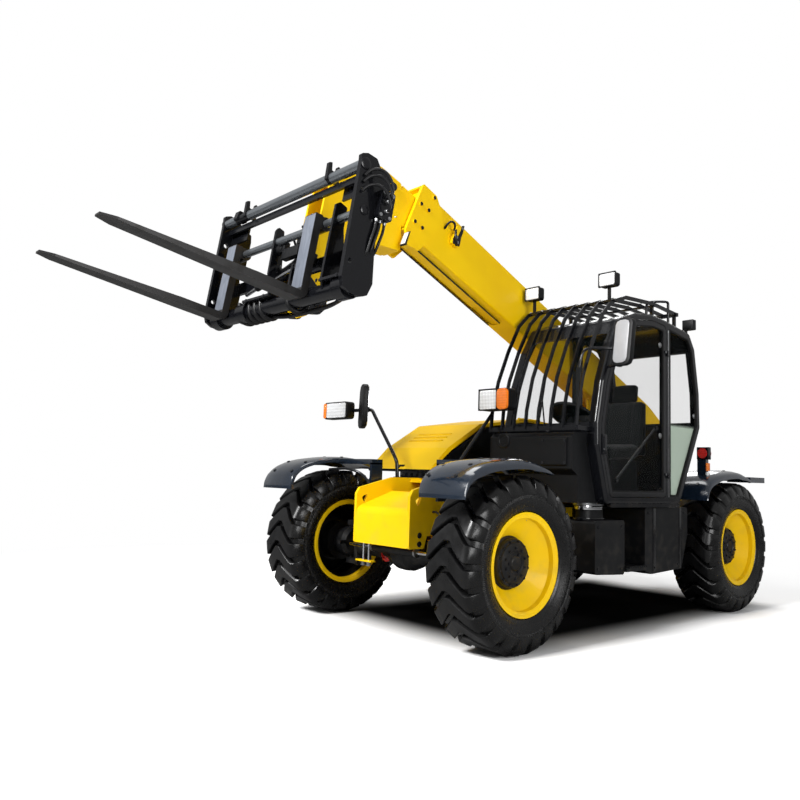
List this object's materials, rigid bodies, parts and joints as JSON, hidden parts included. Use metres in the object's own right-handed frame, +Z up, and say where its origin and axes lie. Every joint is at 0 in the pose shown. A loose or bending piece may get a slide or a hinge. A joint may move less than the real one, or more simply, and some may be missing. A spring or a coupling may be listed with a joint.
{
  "type": "telehandler",
  "caption": "Four-wheel-steer telehandler with side cab, telescopic boom raised over the cab roof and pallet forks on a floating carriage.",
  "frame": {"origin": "on the ground, at the centre of the machine's footprint with the forks out in front", "axes": "+Z up, the machine faces -Y, +X is its left-hand cab side"},
  "size_m": [2.595, 6.3389, 3.354],
  "materials": {
    "yellow_paint": "satin",
    "black_paint": "satin",
    "tyre_rubber": "matte",
    "fork_steel": "worn",
    "rod_chrome": "polished",
    "cab_glass": "clear",
    "black_plastic": "matte",
    "fender_plastic": "gloss",
    "seat_fabric": "matte",
    "cast_black": "cast",
    "lamp": "gloss"
  },
  "bodies": {
    "chassis": {"chassis_frame": "yellow_paint", "front_axle": "cast_black", "rear_axle": "cast_black", "cab_shell": "black_paint", "cab_glass": "cab_glass", "cab_guard": "black_paint", "cab_cowl": "black_paint", "seat": "seat_fabric", "steering_console": "black_plastic", "engine_bay": "black_paint", "engine_block": "cast_black", "right_sill": "black_paint", "hydraulic_tank": "black_paint", "fuel_tank": "black_paint", "cab_step": "black_paint", "counterweight": "black_paint", "fenders_front": "fender_plastic", "fenders_rear": "fender_plastic", "mirror_left": "black_plastic", "mirror_right": "black_plastic", "head_lamp": "lamp", "roof_lamps": "lamp"},
    "knuckle_fl": {"knuckle_fl": "cast_black"},
    "wheel_fl": {"rim_fl": "yellow_paint", "tyre_fl": "tyre_rubber"},
    "knuckle_fr": {"knuckle_fr": "cast_black"},
    "wheel_fr": {"rim_fr": "yellow_paint", "tyre_fr": "tyre_rubber"},
    "knuckle_rl": {"knuckle_rl": "cast_black"},
    "wheel_rl": {"rim_rl": "yellow_paint", "tyre_rl": "tyre_rubber"},
    "knuckle_rr": {"knuckle_rr": "cast_black"},
    "wheel_rr": {"rim_rr": "yellow_paint", "tyre_rr": "tyre_rubber"},
    "outer_boom": {"boom_outer": "yellow_paint"},
    "inner_boom": {"boom_inner": "yellow_paint"},
    "lift_barrel": {"lift_barrel": "black_paint"},
    "lift_rod": {"lift_rod": "rod_chrome"},
    "tilt_barrel": {"tilt_barrel": "black_paint"},
    "tilt_rod": {"tilt_rod": "rod_chrome"},
    "carriage": {"carriage": "black_paint"},
    "fork_left": {"fork_left": "fork_steel"},
    "fork_right": {"fork_right": "fork_steel"},
    "door": {"door_frame": "black_paint", "door_glass": "cab_glass"},
    "hood": {"hood": "yellow_paint"}
  },
  "joints": [
    {"name": "steer_fl", "type": "hinge", "parent": "chassis", "child": "knuckle_fl", "pos_m": [0.7, -0.585, 0.572], "axis": [0, 0, 1], "range_deg": [-35, 35]},
    {"name": "spin_fl", "type": "hinge", "parent": "knuckle_fl", "child": "wheel_fl", "pos_m": [0.926, -0.585, 0.572], "axis": [1, 0, 0], "continuous": true},
    {"name": "steer_fr", "type": "hinge", "parent": "chassis", "child": "knuckle_fr", "pos_m": [-0.7, -0.585, 0.572], "axis": [0, 0, 1], "range_deg": [-35, 35]},
    {"name": "spin_fr", "type": "hinge", "parent": "knuckle_fr", "child": "wheel_fr", "pos_m": [-0.926, -0.585, 0.572], "axis": [1, 0, 0], "continuous": true},
    {"name": "steer_rl", "type": "hinge", "parent": "chassis", "child": "knuckle_rl", "pos_m": [0.7, 2.41, 0.572], "axis": [0, 0, 1], "range_deg": [-35, 35]},
    {"name": "spin_rl", "type": "hinge", "parent": "knuckle_rl", "child": "wheel_rl", "pos_m": [0.926, 2.41, 0.572], "axis": [1, 0, 0], "continuous": true},
    {"name": "steer_rr", "type": "hinge", "parent": "chassis", "child": "knuckle_rr", "pos_m": [-0.7, 2.41, 0.572], "axis": [0, 0, 1], "range_deg": [-35, 35]},
    {"name": "spin_rr", "type": "hinge", "parent": "knuckle_rr", "child": "wheel_rr", "pos_m": [-0.926, 2.41, 0.572], "axis": [1, 0, 0], "continuous": true},
    {"name": "boom_lift", "type": "hinge", "parent": "chassis", "child": "outer_boom", "pos_m": [0, 2.715, 1.62], "axis": [-1, 0, 0], "range_deg": [-25, 38]},
    {"name": "boom_extend", "type": "slide", "parent": "outer_boom", "child": "inner_boom", "axis": [0, -0.9188, 0.3947], "range_m": [0, 2.6]},
    {"name": "lift_barrel_pivot", "type": "hinge", "parent": "chassis", "child": "lift_barrel", "pos_m": [0, 2.56, 0.9], "axis": [-1, 0, 0], "range_deg": [-18, 27]},
    {"name": "lift_rod_slide", "type": "slide", "parent": "lift_barrel", "child": "lift_rod", "axis": [0, -0.7352, 0.6779], "range_m": [-0.28, 0.42]},
    {"name": "carriage_tilt", "type": "hinge", "parent": "inner_boom", "child": "carriage", "pos_m": [0, -1.61375, 2.2556], "axis": [1, 0, 0], "range_deg": [-15, 75]},
    {"name": "tilt_barrel_pivot", "type": "hinge", "parent": "inner_boom", "child": "tilt_barrel", "pos_m": [0, -0.95999, 3.23003], "axis": [1, 0, 0], "range_deg": [-8, 4]},
    {"name": "tilt_rod_slide", "type": "slide", "parent": "tilt_barrel", "child": "tilt_rod", "axis": [0, -0.6839, -0.7296], "range_m": [-0.08, 0.36]},
    {"name": "fork_left_float", "type": "hinge", "parent": "carriage", "child": "fork_left", "pos_m": [0.392, -1.79127, 2.66231], "axis": [-1, 0, 0], "range_deg": [0, 30]},
    {"name": "fork_right_float", "type": "hinge", "parent": "carriage", "child": "fork_right", "pos_m": [-0.582, -1.79127, 2.66231], "axis": [-1, 0, 0], "range_deg": [0, 30]},
    {"name": "door_swing", "type": "hinge", "parent": "chassis", "child": "door", "pos_m": [1.07, 1.25, 1.67], "axis": [0, 0, 1], "range_deg": [0, 100]},
    {"name": "hood_lift", "type": "hinge", "parent": "chassis", "child": "hood", "pos_m": [-0.17, 1.005, 1.655], "axis": [0, 1, 0], "range_deg": [0, 50]}
  ],
  "couplings": [
    {"joint": "steer_fr", "follows": "steer_fl", "ratio": 1},
    {"joint": "steer_rr", "follows": "steer_rl", "ratio": 1},
    {"joint": "lift_barrel_pivot", "follows": "boom_lift", "ratio": 0.6725},
    {"joint": "lift_rod_slide", "follows": "boom_lift", "m_per_rad": 0.5997},
    {"joint": "tilt_barrel_pivot", "follows": "carriage_tilt", "ratio": -0.09},
    {"joint": "tilt_rod_slide", "follows": "carriage_tilt", "m_per_rad": 0.255}
  ]
}
